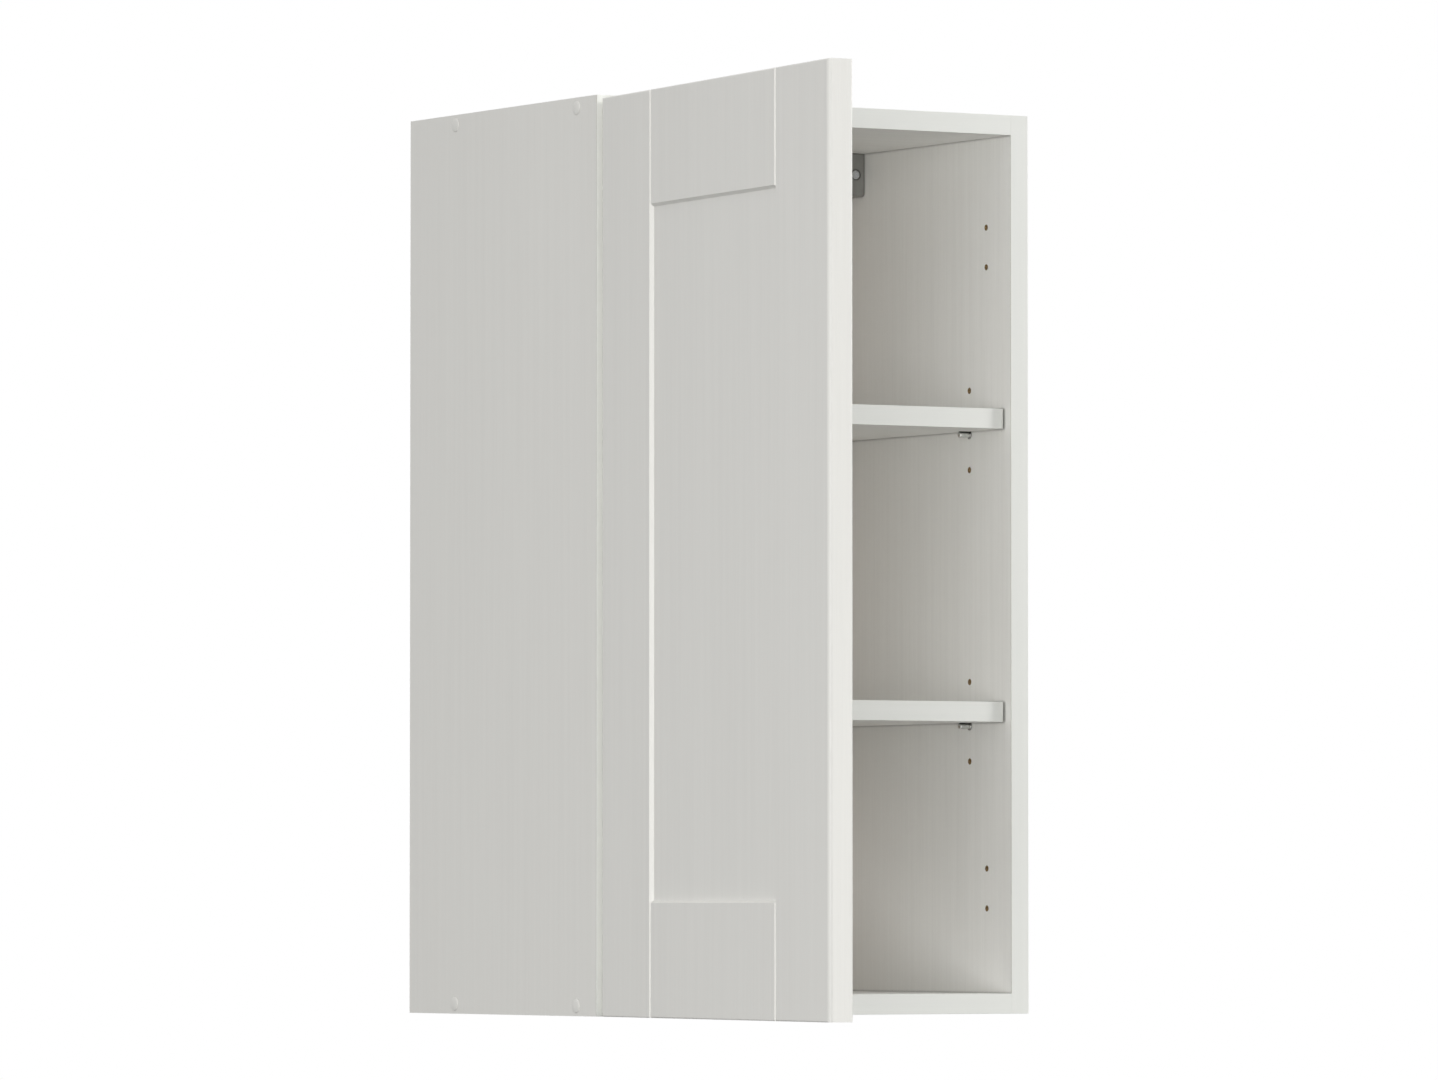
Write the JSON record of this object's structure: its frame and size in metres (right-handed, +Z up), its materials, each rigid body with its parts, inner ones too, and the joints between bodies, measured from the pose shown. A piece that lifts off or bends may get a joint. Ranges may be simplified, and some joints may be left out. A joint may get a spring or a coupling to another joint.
{
  "type": "wall cabinet",
  "caption": "Wall-hung cabinet in pale board with a framed hinged door swung open, loose shelves on pegs and adjustable wall hangers.",
  "frame": {"origin": "on the wall plane, at mid-width, at the cabinet's underside", "axes": "+Z up, +Y into the wall, the front faces -Y and +X is to the right seen from the front"},
  "size_m": [0.433, 0.7001, 0.72],
  "materials": {
    "board": "satin melamine with a fine upright grain",
    "edge_band": "satin",
    "door_board": "satin foil with a fine upright grain",
    "back_board": "matte",
    "cap": "satin",
    "steel": "nickel plated",
    "beech": "raw",
    "hanger": "matte",
    "bumper": "soft"
  },
  "bodies": {
    "carcass": {"left_side_panel": "board", "right_side_panel": "board", "top_panel": "board", "bottom_panel": "board", "back_panel": "back_board", "left_side_edge_band": "edge_band", "right_side_edge_band": "edge_band", "top_edge_band": "edge_band", "bottom_edge_band": "edge_band", "left_cover_caps": "cap", "right_cover_caps": "cap", "carcass_screws": "steel", "carcass_dowels": "beech", "upper_shelf_pegs": "steel", "lower_shelf_pegs": "steel", "left_hanger_housing": "hanger", "right_hanger_housing": "hanger", "hanger_screws": "steel", "upper_hinge_plate": "steel", "lower_hinge_plate": "steel", "upper_hinge_arm": "steel", "lower_hinge_arm": "steel", "hinge_plate_screws": "steel", "hinge_arm_screws": "steel"},
    "door": {"door_panel": "door_board", "door_bumpers": "bumper", "upper_hinge_cup": "steel", "lower_hinge_cup": "steel", "upper_hinge_pin": "steel", "lower_hinge_pin": "steel", "hinge_cup_screws": "steel"},
    "upper_shelf_board": {"upper_shelf": "board", "upper_shelf_edge_band": "edge_band"},
    "lower_shelf_board": {"lower_shelf": "board", "lower_shelf_edge_band": "edge_band"},
    "left_hook_body": {"left_hanger_hook": "steel"},
    "right_hook_body": {"right_hanger_hook": "steel"},
    "left_adjuster_body": {"left_hanger_adjuster": "steel"},
    "right_adjuster_body": {"right_hanger_adjuster": "steel"}
  },
  "joints": [
    {"name": "door_swing", "type": "hinge", "parent": "carcass", "child": "door", "pos_m": [-0.1895, -0.3132, 0.358], "axis": [0, 0, 1], "range_deg": [0, 94.9]},
    {"name": "upper_shelf_lift", "type": "slide", "parent": "carcass", "child": "upper_shelf_board", "axis": [0, 0, 1], "range_m": [0, 0.04]},
    {"name": "lower_shelf_lift", "type": "slide", "parent": "carcass", "child": "lower_shelf_board", "axis": [0, 0, 1], "range_m": [0, 0.04]},
    {"name": "left_adjuster_turn", "type": "hinge", "parent": "carcass", "child": "left_adjuster_body", "pos_m": [-0.176, -0.07, 0.6865], "axis": [0, -1, 0], "range_deg": [-1440, 1440]},
    {"name": "left_hook_lift", "type": "slide", "parent": "carcass", "child": "left_hook_body", "axis": [0, 0, 1], "range_m": [-0.005, 0.005]},
    {"name": "right_adjuster_turn", "type": "hinge", "parent": "carcass", "child": "right_adjuster_body", "pos_m": [0.176, -0.07, 0.6865], "axis": [0, -1, 0], "range_deg": [-1440, 1440]},
    {"name": "right_hook_lift", "type": "slide", "parent": "carcass", "child": "right_hook_body", "axis": [0, 0, 1], "range_m": [-0.005, 0.005]}
  ],
  "couplings": [
    {"joint": "left_adjuster_turn", "follows": "left_hook_lift", "rad_per_m": 5026.5},
    {"joint": "right_adjuster_turn", "follows": "right_hook_lift", "rad_per_m": 5026.5}
  ]
}
